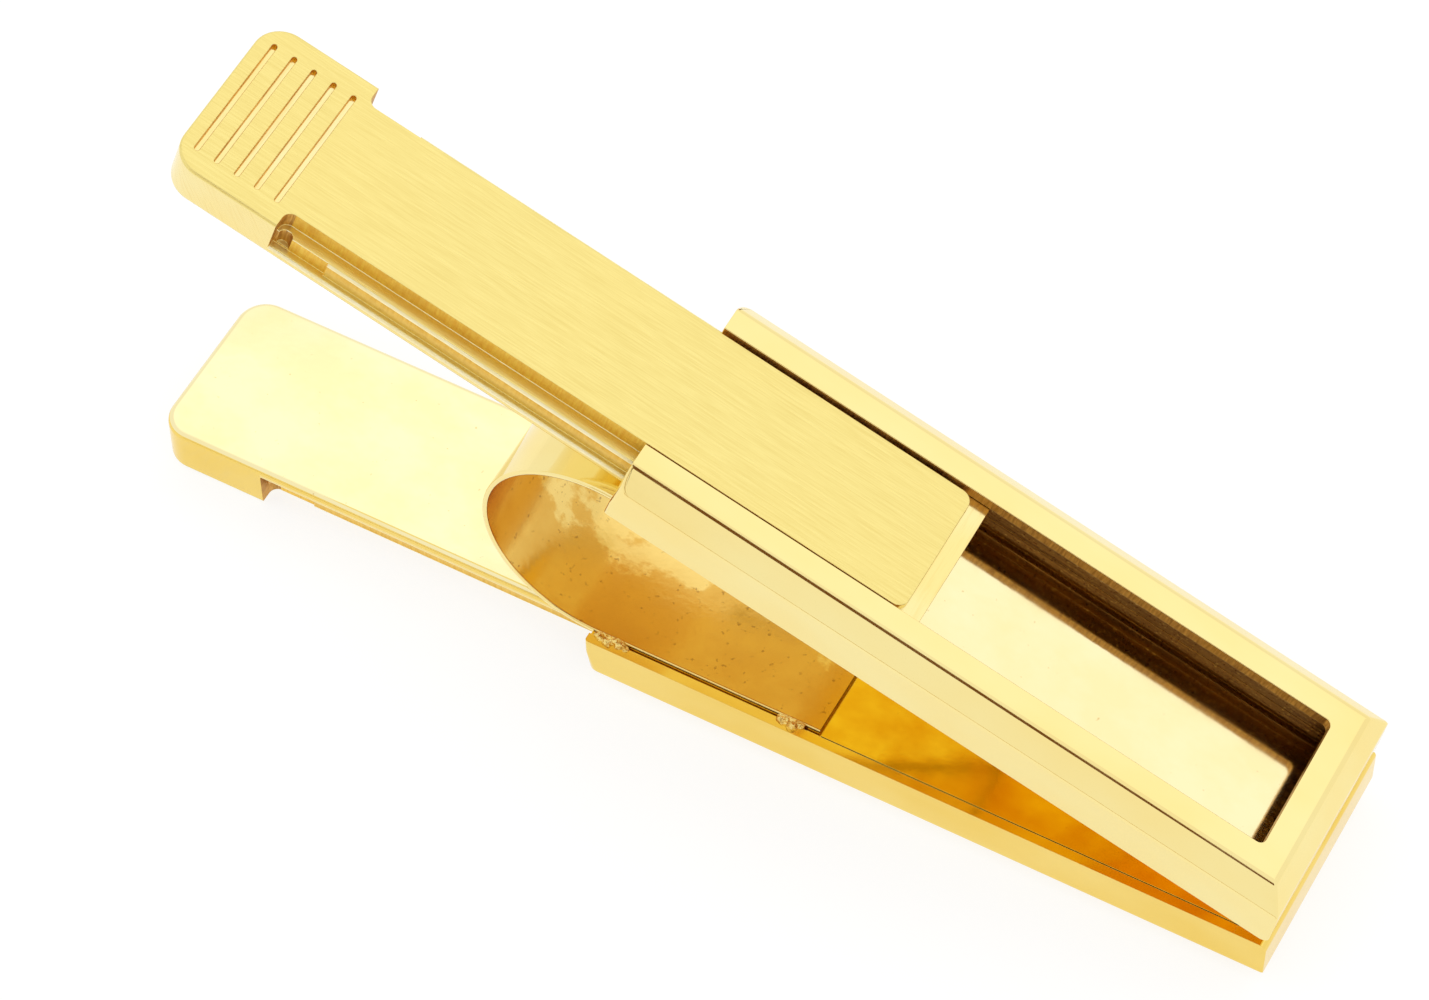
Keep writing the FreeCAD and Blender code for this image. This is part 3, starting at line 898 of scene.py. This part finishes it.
def make_bow_spring():
    half, edge = SPRING_THICKNESS / 2, SPRING_EDGE_ROUND
    ring = []
    for cy, cn, start in (
        (SPRING_HALF_WIDTH - edge, half - edge, 0),
        (edge - SPRING_HALF_WIDTH, half - edge, 90),
        (edge - SPRING_HALF_WIDTH, edge - half, 180),
        (SPRING_HALF_WIDTH - edge, edge - half, 270),
    ):
        ring += arc((cy, cn), edge, start, start + 90, 3)
    obj = skin([
        [(x + nx * n, y, z + nz * n) for y, n in ring] for x, z, nx, nz in spring_stations()
    ])
    finish_piece(
        obj, "bow_strip", Matrix.Identity(4), "lower_arm", ["bow_spring"],
        [SHADED_SPRING, POLISHED, CHANNEL_SHADE], bow_zone,
    )
    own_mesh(obj)


def make_solder(node, seed):
    """A crude lump of hard solder: run-together drops with a crumpled skin."""
    draw = random.Random(seed)
    low, high = [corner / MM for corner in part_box(node)]
    reach = (high.x - low.x) / 2
    bm = bmesh.new()
    for i in range(DROP_COUNT):
        along = -1 + 2 * i / (DROP_COUNT - 1)
        radius = draw.uniform(*DROP_RADIUS) * (1 - 0.25 * along * along)
        sideways, up = draw.uniform(-0.14, 0.14), draw.uniform(-0.1, 0.08)
        at = Vector((along * (reach - DROP_INSET), sideways, up))
        bmesh.ops.create_icosphere(bm, subdivisions=3, radius=radius, matrix=Matrix.Translation(at))
    obj = temporary("bead", bm)
    step = obj.modifiers.new("merge", "REMESH")
    step.mode = "VOXEL"
    step.voxel_size = BEAD_VOXEL
    apply_modifiers(obj)
    (coarse, deep), (fine, shallow) = COARSE_CRUMPLE, FINE_CRUMPLE
    for vertex in obj.data.vertices:
        push = noise.noise(vertex.co * coarse + Vector((seed, 0, 0))) * deep
        push += noise.noise(vertex.co * fine) * shallow
        vertex.co += vertex.normal * push
    middle = (low + high) / 2
    middle.z = high.z - BEAD_SINK
    obj.data.transform(Matrix.Translation(middle))
    return finish_piece(
        obj, node.replace("solder", "bead"), Matrix.Identity(4), "lower_arm",
        [node], [SOLDER], lambda centre, normal: 0, smooth=80,
    )


make_bow_spring()
for count, bead in enumerate(
    ("solder_near_tip", "solder_near_hinge", "solder_far_tip", "solder_far_hinge")
):
    make_solder(bead, 11 + count)


# ------------------------------------------------------------- carried-over CAD

def dress(node, material):
    mesh = frame["nodes"][node].data
    mesh.materials.clear()
    mesh.materials.append(material)


for node in (
    "hinge_lug_near", "hinge_lug_far", "hinge_pin", "upper_drag_spring", "lower_drag_spring"
):
    dress(node, STEEL)


# --------------------------------------------------------- camera, light, floor

VIEW_AZIMUTH = 29.11
VIEW_ELEVATION = 54.74
VIEW_ROLL = -0.69
VIEW_DISTANCE = 0.3338
VIEW_OFFSET = Vector((-0.0013, -0.0019, -0.0007))
LENS = 137.35

middle = (Vector(CAD_BOUNDS[0]) + Vector(CAD_BOUNDS[1])) / 2


def direction(azimuth, elevation):
    """Unit vector from the object towards a place seen at that azimuth and elevation."""
    a, e = math.radians(azimuth), math.radians(elevation)
    return Vector((math.sin(a) * math.cos(e), -math.cos(a) * math.cos(e), math.sin(e)))


def add_camera():
    data = bpy.data.cameras.new("camera")
    data.lens = LENS
    data.sensor_width = 36
    data.clip_start = 0.01
    camera = bpy.data.objects.new("camera", data)
    bpy.context.scene.collection.objects.link(camera)
    back = direction(VIEW_AZIMUTH, VIEW_ELEVATION)
    turn = (-back).to_track_quat("-Z", "Y").to_matrix().to_4x4()
    roll = Matrix.Rotation(math.radians(VIEW_ROLL), 4, "Z")
    camera.matrix_world = (
        Matrix.Translation(middle + VIEW_OFFSET + back * VIEW_DISTANCE) @ turn @ roll
    )
    bpy.context.scene.camera = camera


def add_softbox(name, azimuth, elevation, distance, size, radiance):
    data = bpy.data.lights.new(name, "AREA")
    data.shape = "RECTANGLE"
    data.size, data.size_y = size
    data.energy = radiance * math.pi * size[0] * size[1]
    light = bpy.data.objects.new(name, data)
    bpy.context.scene.collection.objects.link(light)
    back = direction(azimuth, elevation)
    light.location = middle + back * distance
    light.rotation_mode = "QUATERNION"
    light.rotation_quaternion = (-back).to_track_quat("-Z", "Y")


def add_panel(name, azimuth, elevation, distance, size, material):
    """A card facing the object, seen only in its reflections."""
    bpy.ops.mesh.primitive_plane_add(size=1)
    card = bpy.context.object
    card.name = name
    back = direction(azimuth, elevation)
    card.location = middle + back * distance
    card.rotation_mode = "QUATERNION"
    card.rotation_quaternion = back.to_track_quat("Z", "Y")
    card.scale = (size[0], size[1], 1)
    card.data.materials.append(material)
    card.visible_camera = False
    card.visible_diffuse = False
    card.visible_shadow = False


def plain(name, colour, glow=0.0):
    n = Nodes(name)
    n.shader.inputs["Base Color"].default_value = (*colour, 1)
    n.shader.inputs["Roughness"].default_value = 1.0
    n.shader.inputs["Specular IOR Level"].default_value = 0.0
    n.shader.inputs["Emission Color"].default_value = (1, 1, 1, 1)
    n.shader.inputs["Emission Strength"].default_value = glow
    return n.material


def add_floor():
    bpy.ops.mesh.primitive_plane_add(size=1, location=(0, 0, 0))
    floor = bpy.context.object
    floor.name = "floor"
    floor.scale = (3, 3, 1)
    floor.data.materials.append(plain("white floor", (0.25, 0.25, 0.25), 0.79))


def add_world():
    world = bpy.data.worlds.new("studio")
    bpy.context.scene.world = world
    world.use_nodes = True
    background = world.node_tree.nodes["Background"]
    background.inputs["Color"].default_value = (1, 1, 1, 1)
    background.inputs["Strength"].default_value = 1.0


add_camera()
add_world()
add_floor()
dark = plain("dark brown card", (0.17, 0.075, 0.022))
add_panel("camera_card", 31, 58.5, 0.6, (0.16, 0.44), dark)
add_panel("front_card", 10, 0, 0.6, (0.9, 0.09), plain("brown card", (0.60, 0.42, 0.14)))
tan = plain("tan card", (0.6, 0.47, 0.28))
add_panel("left_card", -9, 28, 0.6, (0.24, 0.22), tan)
add_softbox("back_softbox", 180, 56, 0.7, (0.9, 0.6), 0.15)
add_softbox("glow", -142.5, 52.5, 0.7, (0.10, 0.05), 0.15)
bpy.context.scene.view_settings.view_transform = "Standard"
bpy.context.scene.cycles.max_bounces = 20
bpy.context.scene.cycles.glossy_bounces = 16
